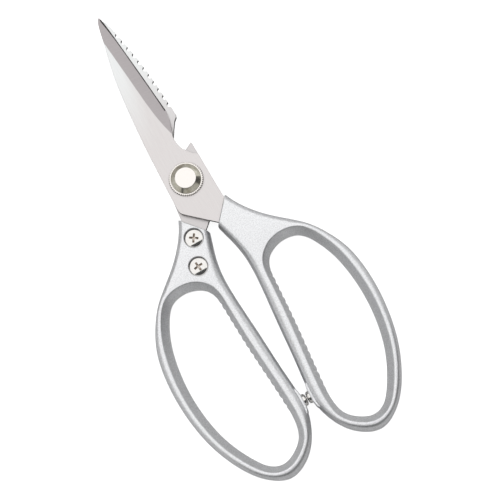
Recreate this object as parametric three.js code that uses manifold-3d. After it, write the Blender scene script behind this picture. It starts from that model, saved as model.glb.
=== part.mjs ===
// Poultry shears: two flat blades on one pivot bolt, each screwed by its tang into the slotted
// neck of a cast finger-loop handle. Closed. Units are millimetres.
// Origin: on the pivot axis, in the plane that the shears lie on. +Y points to the tips, +X to
// the right handle, +Z up through the pivot stack.
// The two handles are one casting, and the left one is turned over (half a turn about Y at mid
// height). The blades share a cutting edge, bevel and tang, and the rear one is turned over too.

import * as THREE from 'three';
import { mergeVertices } from 'three/addons/utils/BufferGeometryUtils.js';
import Module from 'manifold-3d';

const wasm = await Module();
wasm.setup();

// ---- driving dimensions -------------------------------------------------------------------

const HANDLE_THICKNESS = 11;
const MID_HEIGHT = HANDLE_THICKNESS / 2;
const BLADE_THICKNESS = 2.4;
const BLADE_GAP = 0.1;                    // between the two blades' flat faces
const FIT_GAP = 0.05;                     // between pieces clamped face to face
const BLADE_BOTTOM = MID_HEIGHT + BLADE_GAP / 2;
const BLADE_TOP = BLADE_BOTTOM + BLADE_THICKNESS;

const BEVEL_WIDTH = 5.2;
const EDGE_LAND = 0.45;                   // thickness left at the cutting edge
const BEVEL_SLOPE = (BLADE_THICKNESS - EDGE_LAND) / BEVEL_WIDTH;

const GULLET_COUNT = 11;
const GULLET_PITCH = 3.77;
const GULLET_WIDTH = 2.2;
const GULLET_DEPTH = 1.1;
const FIRST_GULLET_Y = 70.5;
const GULLET_CLEARING = 1.2;              // the spine has no points of its own this near a gullet

const SHANK_RADIUS = 3;
const PIVOT_HOLE_RADIUS = 3.15;
const SHANK_END = 0.95;
const HEAD_RADIUS = 6.45;
const HEAD_FLAT_RADIUS = 4.4;
const HEAD_HEIGHT = 2.3;
const HEAD_RIM = 0.3;
const KNURL_RADIUS = 7.45;
const KNURL_DEPTH = 0.3;
const KNURL_TEETH = 50;
const KNURL_WASHER_THICKNESS = 1;
const KNURL_BOTTOM = BLADE_TOP + FIT_GAP;
const HEAD_BOTTOM = KNURL_BOTTOM + KNURL_WASHER_THICKNESS + FIT_GAP;
const PLAIN_WASHER_RADIUS = 7;
const PLAIN_WASHER_THICKNESS = 0.7;
const NUT_RADIUS = 6.2;
const NUT_HEIGHT = 2.2;
const NUT_CHAMFER = 0.9;
const NUT_FLOOR = 0.75;                   // solid metal under the thread
const NUT_BORE_RADIUS = 3.1;
const SPANNER_HOLE_RADIUS = 0.8;
const SPANNER_HOLE_OFFSET = 4.2;
const SPANNER_HOLE_DEPTH = 1.2;

const SCREW_POINTS = [[9.05, -24.15], [13.05, -35.6]];
const SCREW_NAMES = ['upper', 'lower'];
const SCREW_CROSS_TURN = [33, -8];        // degrees, for the upper and the lower screw
const SCREW_HEAD_RADIUS = 3.95;
const SCREW_HEAD_HEIGHT = 2.35;
const SCREW_SHANK_RADIUS = 2;
const SCREW_LENGTH = 9.3;
const SCREW_HEAD_RECESS = 0.1;            // head top below the handle's face
const SCREW_CROWN = 0.8;                  // how far the domed head falls from its middle to its rim
const SCREW_DOME_STEPS = 4;
const CROSS_LENGTH = 4.4;
const CROSS_WIDTH = 0.95;
const CROSS_DEPTH = 1.2;
const COUNTERBORE_RADIUS = 4.25;
const COUNTERBORE_DEPTH = 2.5;
const SCREW_HOLE_RADIUS = 2.15;
const SCREW_HOLE_END = 1.4;               // metal left beyond the blind screw hole

const SWELL = 2.6;                        // exponent of the outer side's rounding: 2 is an ellipse
const ROUNDING_TURNS = [8, 28, 48, 68, 90];   // degrees along the rounding at which it has points
const LEAST_FLAT = 0.4;                   // flat left between the rounding and the hole's edge
const HOLE_RIM_HALF_HEIGHT = 1;           // half of the upright band round the finger hole
const OUTER_STEPS = 120;
const HOLE_STEPS = 70;                    // round the finger hole, outside the ribs
const RIB_COUNT = 18;
const RIB_DEPTH = 0.35;
const SLOT_MARGIN = 0.2;
const NECK_END = [[2.1, -24.7], [11.4, -13.8]];   // the neck's flat front end, seen from above

const STOP_Y = -105;
const BOSS_FACE_X = 1.6;
const BOSS_HALF_HEIGHT = 3.7;
const STUD_RADIUS = 2.65;
const STUD_RIM = 0.5;
const STUD_FULLNESS = 0.6;                // exponent of the dome: 1 is round, and less is boxier
const STUD_DOME_TURNS = [0, 30, 55, 75];  // degrees up the dome at which it has points
const STUD_HEIGHT = BOSS_FACE_X - FIT_GAP - 0.02;
const STEM_RADIUS = 1.5;
const STEM_LENGTH = 2.6;
const STEM_CLEARANCE = 0.1;
const STEM_END_GAP = 0.3;

const ROUND_SEGMENTS = 48;
const SCREW_SEGMENTS = 24;
const OVERCUT = 1;                        // how far a cutter runs past what it cuts
const WEDGE_RISE = 0.3;                   // how far the bevel's cutter starts above the blade

// ---- outlines, seen from above ------------------------------------------------------------

const CUTTING_EDGE = [[2.4, 70], [4.4, 51.8], [6.5, 31]];
const BEVEL_LINE = [[-4, 86], [-2.8, 70.4], [-1.4, 57.1], [0.2, 41.2], [1.5, 30.8], [3.3, 22.4],
  [5.6, 15.5]];

// The front blade, clockwise from its tip
const FRONT_TIP = [[-0.3, 80.4], [0.35, 81.2], [1, 80.1]];
const FRONT_NOTCH = [[6.5, 31], [6.2, 28.2], [5.4, 24.5], [4, 19.9], [3.65, 17.2], [4.5, 13.1],
  [6.1, 10.8], [7.6, 9], [9.7, 7.4]];
const FRONT_SIDE = [[10.1, -8.6], [10.4, -14.5]];
const FRONT_SPINE = [[-9.45, -9], [-9.15, 4.8], [-8.75, 20.3], [-7.8, 36], [-6.3, 51.8],
  [-4.4, 62.4], [-2.8, 70]];
const FRONT_SPINE_TIP = [[-2.8, 70], [-1.9, 75], [-1.1, 78.4], [-0.3, 80.4]];

// The rear blade as the upper one of a turned-over pair: its spine is at the left too
const REAR_TIP = [[-1.4, 79], [-0.6, 79.6], [0.2, 78]];
const REAR_HEEL = [[6.5, 31], [6.9, 27], [8.3, 12], [8.8, 4]];
const REAR_SIDE = [[9.6, -8], [10.3, -14.5]];
const REAR_SPUR = [[-9.45, -9], [-9.5, 4], [-9.65, 9.5], [-9.5, 13], [-9.1, 13.8], [-6, 11.9]];
const REAR_NOTCH = [[-6, 11.9], [-4, 12.8], [-3.2, 15.5], [-3.1, 18], [-3.95, 19.5]];
const REAR_LIP = [[-3.95, 19.5], [-5.6, 22.2], [-7.6, 25.2], [-9, 26.4], [-9.4, 27.6]];
const REAR_SPINE = [[-9.4, 27.6], [-9.05, 33], [-8.45, 40.5], [-7.75, 48], [-6.75, 55.6], [-5.45, 63],
  [-3.9, 70.5], [-3.1, 74], [-2.1, 78]];

// Both blades: the lower edge beside the neck, and the tang inside it
const LOWER_CORNER = [[-7.6, -13.2], [-9, -11.5], [-9.45, -9]];
const NECK_CORNER = [3.3, -22.9];
const TANG_RIGHT = [[10.4, -14.5], [13, -21.5], [15.5, -28.5], [16.6, -34.5], [16, -37.8], [13, -39]];
const TANG_LEFT = [[11, -39], [8.5, -37.8], [7.4, -34.5], [6.2, -30], [3.3, -22.9]];
const TANG_ROOT = [[2.2, -20.6], [8.6, -12]];

// The handle's silhouette at mid height, clockwise from the neck's outer corner. The neck runs on
// past its front end, where it is cut off flat.
const HANDLE_OUTLINE = [[9.9, -10.4], [11.4, -13.8], [14.9, -20.3], [23.7, -30.5], [35, -40.6],
  [42.1, -50.7], [46.1, -60.7], [47.85, -76], [46.9, -90.5], [43.4, -105.2], [36, -119.9],
  [28.7, -127.4], [20.2, -130.4], [9.5, -124.7], [3.6, -114.9], [1.9, -106], [3, -90.5],
  [4.45, -70.7], [6.05, -48], [5, -35.6], [2.3, -25.4], [0.9, -18.5], [0.8, -13], [2.6, -8.9],
  [6.9, -7.6]];
const FINGER_HOLE = [[19.5, -43.1], [24.1, -42.3], [30.2, -43.9], [35.4, -50.7], [39.2, -60.7],
  [41.3, -75.7], [40.6, -90.5], [36.9, -105.2], [30.6, -117.2], [26, -122.3], [21, -123.8],
  [15.6, -121.9], [10.7, -117.3], [8.8, -110], [9, -100.3], [10.2, -85.5], [11.35, -70.7],
  [12.1, -55.7], [12.7, -50.5], [14.9, -45.9]];
// Width of the rounded outer side at places round the outline
const OUTER_ROUNDING = [
  { at: [11.4, -13.8], width: 2.8 },
  { at: [23.7, -30.5], width: 3 },
  { at: [35, -40.6], width: 2.9 },
  { at: [47.85, -76], width: 3.1 },
  { at: [28.7, -127.1], width: 3.1 },
  { at: [9.5, -124.6], width: 3.5 },
  { at: [3, -90.5], width: 4.1 },
  { at: [6.05, -48], width: 4.1 },
  { at: [5, -35.6], width: 3.2 },
  { at: [2.3, -25.4], width: 2.7 },
];
// Width of the sloping inner side at places round the finger hole
const INNER_SLOPE = [
  { at: [19.5, -43.1], width: 2.9 },
  { at: [36.9, -105.2], width: 3 },
  { at: [21, -123.8], width: 2.75 },
  { at: [10.7, -117.3], width: 2.5 },
  { at: [8.8, -110], width: 2.2 },
  { at: [12.1, -55.7], width: 2.2 },
  { at: [14.9, -45.9], width: 2.6 },
];
const RIB_START = [8.7, -106.5];
const RIB_END = [12.7, -50.5];
const BOSS_OUTLINE = [[4.5, -98.3], [2.4, -99.4], [1.7, -101.6], [BOSS_FACE_X, -102.2],
  [BOSS_FACE_X, -107.6], [1.65, -108.2], [2.2, -110.4], [4.8, -112]];

// ---- helpers ------------------------------------------------------------------------------

function vectors(points) {
  return points.map(([x, y]) => new THREE.Vector2(x, y));
}

function curve(points, steps) {
  return new THREE.SplineCurve(vectors(points)).getPoints(steps);
}

function closedCurve(points) {
  const places = points.map(([x, y]) => new THREE.Vector3(x, y, 0));
  const path = new THREE.CatmullRomCurve3(places, true, 'centripetal');
  path.arcLengthDivisions = 600;
  return path;
}

// Prism of a closed outline between two heights
function prism(outline, bottom, top) {
  const shape = new THREE.Shape(outline);
  const geometry = new THREE.ExtrudeGeometry(shape, { depth: top - bottom, bevelEnabled: false });
  return geometry.translate(0, 0, bottom);
}

// Upright round bar about the line at x, y
function bar(radius, bottom, top, x, y, segments) {
  const geometry = new THREE.CylinderGeometry(radius, radius, top - bottom, segments);
  geometry.rotateX(Math.PI / 2);
  return geometry.translate(x, y, (top + bottom) / 2);
}

// Turned piece: the profile holds radius and height pairs and closes on the axis
function turned(profile, segments) {
  return facingOut(new THREE.LatheGeometry(vectors(profile), segments).rotateX(Math.PI / 2));
}

function indexed(points, index) {
  const geometry = new THREE.BufferGeometry();
  const positions = points.flatMap((point) => [point.x, point.y, point.z]);
  geometry.setAttribute('position', new THREE.Float32BufferAttribute(positions, 3));
  geometry.setIndex(index);
  return facingOut(geometry);
}

// Triangles between rings of equal point count that follow each other in a list of points
function ringSkin(start, rings, count) {
  const index = [];
  for (let i = 0; i < rings - 1; i += 1) {
    const here = start + i * count;
    const next = here + count;
    for (let j = 0; j < count; j += 1) {
      const k = (j + 1) % count;
      index.push(here + j, next + j, next + k);
      index.push(here + j, next + k, here + k);
    }
  }
  return index;
}

// Skin through sections of equal point count, capped at both ends
function loft(sections) {
  const count = sections[0].length;
  const index = ringSkin(0, sections.length, count);
  const end = (sections.length - 1) * count;
  for (let j = 1; j < count - 1; j += 1) {
    index.push(0, j, j + 1);
    index.push(end, end + j + 1, end + j);
  }
  return indexed(sections.flat(), index);
}

// Volume inside a closed skin, negative where its faces point inwards
function signedVolume(geometry) {
  const position = geometry.attributes.position;
  const corners = [new THREE.Vector3(), new THREE.Vector3(), new THREE.Vector3()];
  let volume = 0;
  for (let i = 0; i < geometry.index.count; i += 3) {
    corners.forEach((corner, k) => corner.fromBufferAttribute(position, geometry.index.getX(i + k)));
    volume += corners[0].dot(corners[1].clone().cross(corners[2])) / 6;
  }
  return volume;
}

function facingOut(geometry) {
  if (signedVolume(geometry) < 0) {
    geometry.setIndex(Array.from(geometry.index.array).reverse());
  }
  return geometry;
}

function solid(geometry) {
  const bare = geometry.clone();
  bare.deleteAttribute('normal');
  bare.deleteAttribute('uv');
  const merged = mergeVertices(bare, 1e-4);
  const mesh = new wasm.Mesh({
    numProp: 3,
    vertProperties: new Float32Array(merged.attributes.position.array),
    triVerts: new Uint32Array(merged.index.array),
  });
  return new wasm.Manifold(mesh);
}

function geometryOf(body) {
  const mesh = body.getMesh();
  const geometry = new THREE.BufferGeometry();
  geometry.setAttribute('position', new THREE.Float32BufferAttribute(mesh.vertProperties, 3));
  geometry.setIndex(new THREE.BufferAttribute(mesh.triVerts, 1));
  geometry.computeVertexNormals();
  return geometry;
}

// Half a turn about the Y line at mid height
function turnedOver(geometry) {
  const copy = geometry.clone();
  copy.translate(0, 0, -MID_HEIGHT);
  copy.rotateY(Math.PI);
  return copy.translate(0, 0, MID_HEIGHT);
}

// Outline grown outwards by a margin, for an outline that runs clockwise
function grown(outline, margin) {
  return outline.map((point, i) => {
    const before = outline[(i + outline.length - 1) % outline.length];
    const after = outline[(i + 1) % outline.length];
    const along = after.clone().sub(before).normalize();
    return new THREE.Vector2(point.x - along.y * margin, point.y + along.x * margin);
  });
}

// ---- blades -------------------------------------------------------------------------------

function tangOutline() {
  return [...curve(TANG_RIGHT, 20), ...curve(TANG_LEFT, 16), ...vectors(TANG_ROOT)];
}

function frontPlate() {
  return [
    ...curve([...FRONT_TIP, ...CUTTING_EDGE], 24),
    ...curve(FRONT_NOTCH, 26).slice(1),
    ...vectors(FRONT_SIDE),
    new THREE.Vector2(...NECK_CORNER),
    ...curve(LOWER_CORNER, 8),
    ...curve(FRONT_SPINE, 20).slice(1),
    ...curve(FRONT_SPINE_TIP, 8).slice(1, -1),
  ];
}

// Spine with the scaler gullets: each is a short arc cut into the line of the spine
function scalerSpine() {
  const spine = new THREE.SplineCurve(vectors(REAR_SPINE));
  const points = spine.getPoints(60);
  const outline = points.filter((point) => {
    const place = (FIRST_GULLET_Y - point.y) / GULLET_PITCH;
    const nearest = Math.round(place);
    const inside = Math.abs(place - nearest) < GULLET_CLEARING / GULLET_PITCH;
    return !(inside && nearest >= 0 && nearest < GULLET_COUNT);
  });
  for (let i = 0; i < GULLET_COUNT; i += 1) {
    const y = FIRST_GULLET_Y - i * GULLET_PITCH;
    const closer = (best, point) => (Math.abs(point.y - y) < Math.abs(best.y - y) ? point : best);
    const near = points.reduce(closer);
    for (let step = -2; step <= 2; step += 1) {
      const across = step / 2;
      const depth = GULLET_DEPTH * (1 - across * across);
      outline.push(new THREE.Vector2(near.x + depth, y + (across * GULLET_WIDTH) / 2));
    }
  }
  return outline.sort((a, b) => a.y - b.y);
}

function rearPlate() {
  return [
    ...curve([...REAR_TIP, ...CUTTING_EDGE], 24),
    ...curve(REAR_HEEL, 8).slice(1),
    ...vectors(REAR_SIDE),
    new THREE.Vector2(...NECK_CORNER),
    ...curve(LOWER_CORNER, 8),
    ...vectors(REAR_SPUR).slice(1),
    ...curve(REAR_NOTCH, 8).slice(1),
    ...vectors(REAR_LIP).slice(1),
    ...scalerSpine().slice(1),
  ];
}

// Each point of an open line with the unit vector to its left, seen going along it
function withSides(points) {
  return points.map((point, i) => {
    const before = points[Math.max(i - 1, 0)];
    const after = points[Math.min(i + 1, points.length - 1)];
    const along = after.clone().sub(before).normalize();
    return { point, side: new THREE.Vector2(-along.y, along.x) };
  });
}

// Wedge that grinds the bevel: it slopes down from the bevel line towards the cutting edge
function bevelCutter() {
  const reach = BEVEL_WIDTH + 4 * OVERCUT;
  const sections = withSides(curve(BEVEL_LINE, 18)).map(({ point, side }) => {
    const near = point.clone().addScaledVector(side, -WEDGE_RISE / BEVEL_SLOPE);
    const far = point.clone().addScaledVector(side, reach);
    return [
      new THREE.Vector3(near.x, near.y, BLADE_TOP + WEDGE_RISE),
      new THREE.Vector3(far.x, far.y, BLADE_TOP + WEDGE_RISE),
      new THREE.Vector3(far.x, far.y, BLADE_TOP - reach * BEVEL_SLOPE),
    ];
  });
  return loft(sections);
}

function blade(plateOutline) {
  let body = solid(prism(plateOutline, BLADE_BOTTOM, BLADE_TOP));
  body = body.add(solid(prism(tangOutline(), BLADE_BOTTOM, BLADE_TOP)));
  body = body.subtract(solid(bevelCutter()));
  const low = BLADE_BOTTOM - OVERCUT;
  const high = BLADE_TOP + OVERCUT;
  body = body.subtract(solid(bar(PIVOT_HOLE_RADIUS, low, high, 0, 0, ROUND_SEGMENTS)));
  for (const [x, y] of SCREW_POINTS) {
    body = body.subtract(solid(bar(SCREW_HOLE_RADIUS, low, high, x, y, SCREW_SEGMENTS)));
  }
  return geometryOf(body);
}

// ---- handles ------------------------------------------------------------------------------

// Share of a closed path's length at the place nearest to a point
function shareNear(path, [x, y]) {
  const samples = 2000;
  const target = new THREE.Vector3(x, y, 0);
  let best = 0;
  let least = Infinity;
  for (let i = 0; i < samples; i += 1) {
    const distance = path.getPointAt(i / samples).distanceTo(target);
    if (distance < least) {
      least = distance;
      best = i / samples;
    }
  }
  return best;
}

// Point of a clockwise closed path with the unit vector to the inside of the path
function placeOn(path, share) {
  const wrapped = ((share % 1) + 1) % 1;
  const point = path.getPointAt(wrapped);
  const along = path.getTangentAt(wrapped);
  return { point, inward: new THREE.Vector3(along.y, -along.x, 0) };
}

// Widths given at places on a path, as a function of the share of the path's length
function widthAlong(path, places) {
  const marks = places.map(({ at, width }) => ({ share: shareNear(path, at), width }));
  marks.sort((a, b) => a.share - b.share);
  const first = marks[0];
  const last = marks[marks.length - 1];
  marks.unshift({ share: last.share - 1, width: last.width });
  marks.push({ share: first.share + 1, width: first.width });
  return (share) => {
    const i = marks.findIndex((mark) => mark.share > share);
    const [low, high] = [marks[i - 1], marks[i]];
    const part = THREE.MathUtils.smoothstep(share, low.share, high.share);
    return THREE.MathUtils.lerp(low.width, high.width, part);
  };
}

// Rounded outer side from near mid height to the flat top: distances in and heights
function outerProfile(width) {
  return ROUNDING_TURNS.map((turn) => {
    const angle = THREE.MathUtils.degToRad(turn);
    const depth = width * (1 - Math.max(0, Math.cos(angle)) ** (2 / SWELL));
    return [depth, MID_HEIGHT * Math.sin(angle) ** (2 / SWELL)];
  });
}

// Rings round a path, from the bottom up: profileAt gives the upper half at each share
function sideRings(path, shares, profileAt) {
  const columns = shares.map((share) => {
    const { point, inward } = placeOn(path, share);
    const upper = profileAt(share).map(([depth, height]) => {
      const spot = point.clone().addScaledVector(inward, depth);
      return spot.setZ(MID_HEIGHT + height);
    });
    const lower = upper.map((spot) => spot.clone().setZ(HANDLE_THICKNESS - spot.z));
    return [...lower.reverse(), ...upper];
  });
  return columns[0].map((_, level) => columns.map((column) => column[level]));
}

// The outer side. On the slender bars its rounding runs nearly up to the hole's upper edge.
function outerRings(holeEdge) {
  const path = closedCurve(HANDLE_OUTLINE);
  const width = widthAlong(path, OUTER_ROUNDING);
  const shares = Array.from({ length: OUTER_STEPS }, (_, i) => i / OUTER_STEPS);
  return sideRings(path, shares, (share) => {
    const foot = placeOn(path, share).point.setZ(HANDLE_THICKNESS);
    const room = Math.min(...holeEdge.map((spot) => spot.distanceTo(foot))) - LEAST_FLAT;
    return outerProfile(Math.min(width(share), room));
  });
}

// The finger hole's side, with the grip ribs between their two ends
function holeRings() {
  const path = closedCurve(FINGER_HOLE);
  const width = widthAlong(path, INNER_SLOPE);
  const start = shareNear(path, RIB_START);
  const span = (shareNear(path, RIB_END) - start + 1) % 1;
  const steps = 2 * RIB_COUNT;
  const ridges = new Map();
  for (let i = 0; i < steps; i += 1) {
    ridges.set((start + (span * i) / steps) % 1, i % 2 === 1 ? RIB_DEPTH : 0);
  }
  for (let i = 0; i < HOLE_STEPS; i += 1) {
    ridges.set((start + span + ((1 - span) * i) / HOLE_STEPS) % 1, 0);
  }
  return sideRings(path, [...ridges.keys()], (share) => [
    [ridges.get(share), HOLE_RIM_HALF_HEIGHT],
    [-width(share), MID_HEIGHT],
  ]);
}

// Triangles that fill the flat face between two rings, given by their first points' numbers
function flatFill(outer, hole, outerStart, holeStart, upwards) {
  const flat = (ring) => ring.map((spot) => new THREE.Vector2(spot.x, spot.y));
  const number = (k) => (k < outer.length ? outerStart + k : holeStart + k - outer.length);
  const corners = [...outer, ...hole];
  return THREE.ShapeUtils.triangulateShape(flat(outer), [flat(hole)]).flatMap((triangle) => {
    const area = THREE.ShapeUtils.area(triangle.map((k) => corners[k]));
    const ordered = area > 0 === upwards ? triangle : [...triangle].reverse();
    return ordered.map(number);
  });
}

// Ring of metal round the finger hole: two sides and the flat faces between them
function fingerLoop() {
  const hole = holeRings();
  const outer = outerRings(hole[hole.length - 1]);
  const points = [...outer.flat(), ...hole.flat()];
  const holeStart = outer.length * OUTER_STEPS;
  const holeCount = hole[0].length;
  const outerTop = (outer.length - 1) * OUTER_STEPS;
  const holeTop = holeStart + (hole.length - 1) * holeCount;
  const index = [
    ...ringSkin(0, outer.length, OUTER_STEPS),
    ...ringSkin(holeStart, hole.length, holeCount).reverse(),
    ...flatFill(outer[0], hole[0], 0, holeStart, false),
    ...flatFill(outer[outer.length - 1], hole[hole.length - 1], outerTop, holeTop, true),
  ];
  return indexed(points, index);
}

// Block that trims the neck to its flat front end
function neckTrimmer() {
  const [low, high] = vectors(NECK_END);
  const along = high.clone().sub(low).normalize();
  const size = 40;
  const middle = low.clone().add(high).multiplyScalar(0.5);
  const box = new THREE.BoxGeometry(size, size, 2 * HANDLE_THICKNESS);
  box.rotateZ(Math.atan2(along.y, along.x));
  const out = new THREE.Vector2(-along.y, along.x).multiplyScalar(size / 2);
  return box.translate(middle.x + out.x, middle.y + out.y, MID_HEIGHT);
}

// The right handle: screw heads on the underside, slot at the height of the front blade
function handle() {
  let body = solid(fingerLoop());
  const bossBottom = MID_HEIGHT - BOSS_HALF_HEIGHT;
  body = body.add(solid(prism(vectors(BOSS_OUTLINE), bossBottom, bossBottom + 2 * BOSS_HALF_HEIGHT)));
  body = body.subtract(solid(neckTrimmer()));
  const slotOutline = grown(tangOutline(), SLOT_MARGIN);
  const slot = prism(slotOutline, BLADE_BOTTOM - SLOT_MARGIN / 2, BLADE_TOP + SLOT_MARGIN / 2);
  body = body.subtract(solid(slot));
  for (const [x, y] of SCREW_POINTS) {
    const holeTop = HANDLE_THICKNESS - SCREW_HOLE_END;
    const through = bar(SCREW_HOLE_RADIUS, -OVERCUT, holeTop, x, y, SCREW_SEGMENTS);
    const counterbore = bar(COUNTERBORE_RADIUS, -OVERCUT, COUNTERBORE_DEPTH, x, y, ROUND_SEGMENTS);
    body = body.subtract(solid(through)).subtract(solid(counterbore));
  }
  const stemDepth = STEM_LENGTH + STEM_END_GAP;
  const stemHole = bar(STEM_RADIUS + STEM_CLEARANCE, -OVERCUT, stemDepth, 0, 0, SCREW_SEGMENTS);
  stemHole.rotateY(Math.PI / 2);
  body = body.subtract(solid(stemHole.translate(BOSS_FACE_X, STOP_Y, MID_HEIGHT)));
  return geometryOf(body);
}

// ---- fasteners ----------------------------------------------------------------------------

// Pan-head screw, head down at the right handle's underside
function screw(place) {
  const top = SCREW_HEAD_RECESS;
  const seat = top + SCREW_HEAD_HEIGHT;
  const profile = [];
  for (let step = 0; step <= SCREW_DOME_STEPS; step += 1) {
    const share = step / SCREW_DOME_STEPS;
    profile.push([share * SCREW_HEAD_RADIUS, top + SCREW_CROWN * share * share]);
  }
  profile.push([SCREW_HEAD_RADIUS, seat], [SCREW_SHANK_RADIUS, seat]);
  profile.push([SCREW_SHANK_RADIUS, top + SCREW_LENGTH], [0, top + SCREW_LENGTH]);
  let body = solid(turned(profile.map(([radius, z]) => [radius, -z]), SCREW_SEGMENTS));
  for (const turn of [0, Math.PI / 2]) {
    const arm = new THREE.BoxGeometry(CROSS_LENGTH, CROSS_WIDTH, 2 * CROSS_DEPTH);
    arm.rotateZ(THREE.MathUtils.degToRad(SCREW_CROSS_TURN[place]) + turn);
    arm.translate(0, 0, -top);
    body = body.subtract(solid(arm));
  }
  const geometry = geometryOf(body);
  const [x, y] = SCREW_POINTS[place];
  geometry.rotateX(Math.PI);
  return geometry.translate(x, y, 0);
}

// Stop stud of the right handle: domed button on the boss with a stem in the handle
function stopStud() {
  const dome = STUD_DOME_TURNS.map((turn) => {
    const angle = THREE.MathUtils.degToRad(turn);
    const rise = (STUD_HEIGHT - STUD_RIM) * Math.sin(angle);
    return [STUD_RADIUS * Math.cos(angle) ** STUD_FULLNESS, STUD_RIM + rise];
  });
  const profile = [
    [0, -STEM_LENGTH], [STEM_RADIUS, -STEM_LENGTH], [STEM_RADIUS, 0], [STUD_RADIUS, 0], ...dome,
    [0, STUD_HEIGHT],
  ];
  const geometry = turned(profile, SCREW_SEGMENTS);
  geometry.rotateY(-Math.PI / 2);
  return geometry.translate(BOSS_FACE_X - FIT_GAP, STOP_Y, MID_HEIGHT);
}

function pivotBolt() {
  const profile = [
    [0, SHANK_END], [SHANK_RADIUS, SHANK_END], [SHANK_RADIUS, HEAD_BOTTOM], [HEAD_RADIUS, HEAD_BOTTOM],
    [HEAD_RADIUS, HEAD_BOTTOM + HEAD_RIM], [HEAD_FLAT_RADIUS, HEAD_BOTTOM + HEAD_HEIGHT],
    [0, HEAD_BOTTOM + HEAD_HEIGHT],
  ];
  return turned(profile, ROUND_SEGMENTS);
}

function washer(outline, bottom, thickness) {
  const body = solid(prism(outline, bottom, bottom + thickness));
  const hole = bar(PIVOT_HOLE_RADIUS, bottom - OVERCUT, bottom + thickness + OVERCUT, 0, 0, ROUND_SEGMENTS);
  return geometryOf(body.subtract(solid(hole)));
}

function roundOutline(radius, toothDepth, count) {
  const outline = [];
  for (let i = 0; i < count; i += 1) {
    const angle = (2 * Math.PI * i) / count;
    const reach = radius - (i % 2) * toothDepth;
    outline.push(new THREE.Vector2(reach * Math.cos(angle), reach * Math.sin(angle)));
  }
  return outline;
}

function pivotNut() {
  const profile = [
    [0, 0], [NUT_RADIUS - NUT_CHAMFER, 0], [NUT_RADIUS, NUT_CHAMFER], [NUT_RADIUS, NUT_HEIGHT],
    [NUT_BORE_RADIUS, NUT_HEIGHT], [NUT_BORE_RADIUS, NUT_FLOOR], [0, NUT_FLOOR],
  ];
  let body = solid(turned(profile, ROUND_SEGMENTS));
  for (const side of [-1, 1]) {
    const x = side * SPANNER_HOLE_OFFSET;
    const hole = bar(SPANNER_HOLE_RADIUS, -OVERCUT, SPANNER_HOLE_DEPTH, x, 0, SCREW_SEGMENTS);
    body = body.subtract(solid(hole));
  }
  return geometryOf(body);
}

// ---- materials ----------------------------------------------------------------------------

function metal(color, roughness, metalness) {
  return new THREE.MeshStandardMaterial({ color, roughness, metalness });
}

const castSilver = () => metal(0xc9cbce, 0.45, 0.6);
const groundSteel = () => metal(0xd6d3d1, 0.35, 0.9);
const polishedSteel = () => metal(0xe2e0da, 0.2, 1);
const brightPlate = () => metal(0xdfe0e2, 0.12, 1);

// ---- the assembly -------------------------------------------------------------------------

const group = new THREE.Group();

function addPiece(name, geometry, material) {
  const mesh = new THREE.Mesh(geometry, material);
  mesh.name = name;
  group.add(mesh);
}

addPiece('front_blade', blade(frontPlate()), groundSteel());
addPiece('rear_blade', turnedOver(blade(rearPlate())), groundSteel());

const casting = handle();
addPiece('right_handle', casting, castSilver());
addPiece('left_handle', turnedOver(casting), castSilver());

SCREW_NAMES.forEach((name, place) => {
  const piece = screw(place);
  addPiece(`right_${name}_screw`, piece, brightPlate());
  addPiece(`left_${name}_screw`, turnedOver(piece), brightPlate());
});

const stud = stopStud();
addPiece('right_stop_stud', stud, brightPlate());
addPiece('left_stop_stud', turnedOver(stud), brightPlate());

addPiece('pivot_bolt', pivotBolt(), polishedSteel());
addPiece(
  'knurled_washer',
  washer(roundOutline(KNURL_RADIUS, KNURL_DEPTH, 2 * KNURL_TEETH), KNURL_BOTTOM, KNURL_WASHER_THICKNESS),
  polishedSteel(),
);
addPiece(
  'plain_washer',
  washer(roundOutline(PLAIN_WASHER_RADIUS, 0, ROUND_SEGMENTS), NUT_HEIGHT + FIT_GAP, PLAIN_WASHER_THICKNESS),
  polishedSteel(),
);
addPiece('pivot_nut', pivotNut(), polishedSteel());

export default group;
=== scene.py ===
"""Poultry shears: the looks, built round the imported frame.

Shapes are worked out in millimetres in the part's frame (origin on the pivot axis in the resting
plane, +Y to the tips, +X to the right handle, +Z up) and turned into metres when a mesh is made.
The left handle and its hardware are the right-hand ones turned over about Y at mid height. The rear
blade has its own outline. It is made the front blade's way up and is turned over as well.
"""

import math

import bmesh
import bpy
import numpy as np
from mathutils import Matrix, Vector


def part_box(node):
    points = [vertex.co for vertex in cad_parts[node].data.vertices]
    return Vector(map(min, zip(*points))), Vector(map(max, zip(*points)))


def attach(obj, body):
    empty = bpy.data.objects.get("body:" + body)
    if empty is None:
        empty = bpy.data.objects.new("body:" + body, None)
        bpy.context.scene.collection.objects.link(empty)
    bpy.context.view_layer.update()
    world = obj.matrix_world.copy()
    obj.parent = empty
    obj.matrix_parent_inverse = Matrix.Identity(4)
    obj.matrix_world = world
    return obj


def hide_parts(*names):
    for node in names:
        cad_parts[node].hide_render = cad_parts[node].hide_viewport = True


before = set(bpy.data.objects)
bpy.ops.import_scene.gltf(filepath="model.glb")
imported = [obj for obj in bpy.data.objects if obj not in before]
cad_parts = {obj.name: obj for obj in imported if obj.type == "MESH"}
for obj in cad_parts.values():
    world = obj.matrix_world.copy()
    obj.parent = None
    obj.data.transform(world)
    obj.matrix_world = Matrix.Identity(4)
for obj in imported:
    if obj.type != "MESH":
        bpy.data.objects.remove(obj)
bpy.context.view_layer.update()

MM = 0.001

# ---- sizes in millimetres ------------------------------------------------------------------


def node_size(node):
    """Lowest and highest corner of a CAD node, in millimetres."""
    low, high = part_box(node)
    return low / MM, high / MM


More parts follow.
